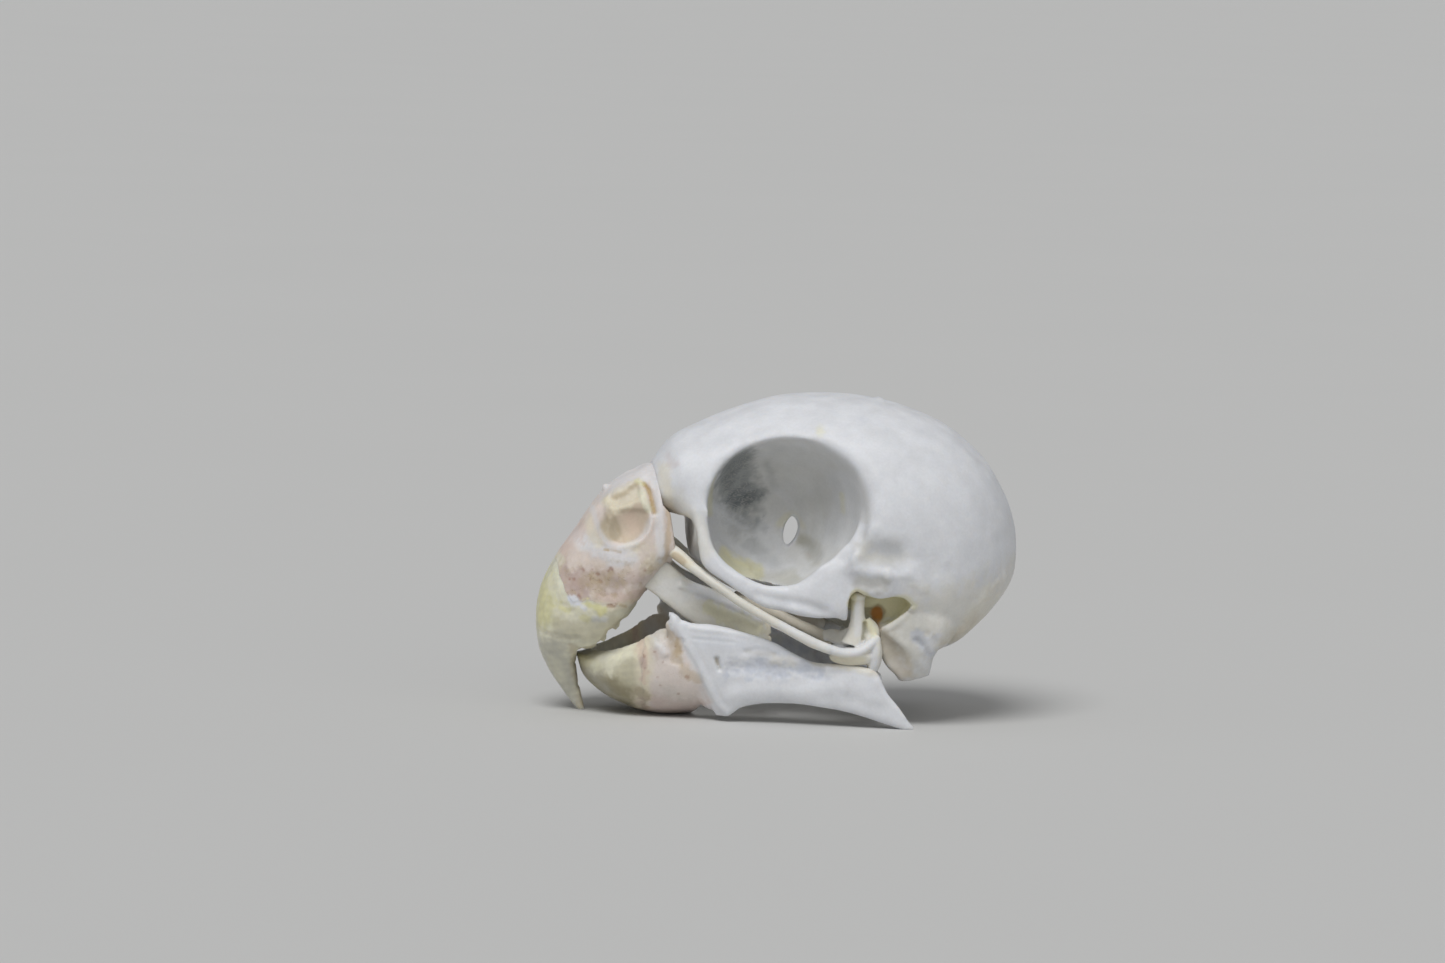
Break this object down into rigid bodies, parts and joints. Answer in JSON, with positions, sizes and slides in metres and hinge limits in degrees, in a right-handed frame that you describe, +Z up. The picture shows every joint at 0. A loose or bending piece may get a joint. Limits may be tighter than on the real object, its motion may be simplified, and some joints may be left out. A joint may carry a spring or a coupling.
{
  "type": "bird skull",
  "caption": "Life-size budgerigar skull with its hooked bill and lower jaw, dry bone lying on the bill's tip and the jaw.",
  "frame": {"origin": "on the surface the skull lies on, under the middle of its bounding box", "axes": "+X towards the back of the head, so the bill points along -X; +Y towards the skull's right side; +Z up"},
  "size_m": [0.0262, 0.0152, 0.0175],
  "materials": {
    "bone": "smooth dry bone, off-white",
    "bill_bone": "porous dry bone, pinkish cream",
    "horn": "worn keratin, yellow to grey",
    "thin_bone": "smooth dry bone, cream"
  },
  "bodies": {
    "root": {"cranium": "bone", "upper_bill_bone": "bill_bone", "upper_bill_sheath": "horn", "lower_jaw_sheath": "horn", "lower_jaw": "bone", "quadrate_left": "thin_bone", "quadrate_right": "thin_bone", "jugal_bar_left": "thin_bone", "jugal_bar_right": "thin_bone", "palatine_left": "thin_bone", "palatine_right": "thin_bone", "pterygoid_left": "thin_bone", "pterygoid_right": "thin_bone"}
  },
  "joints": []
}
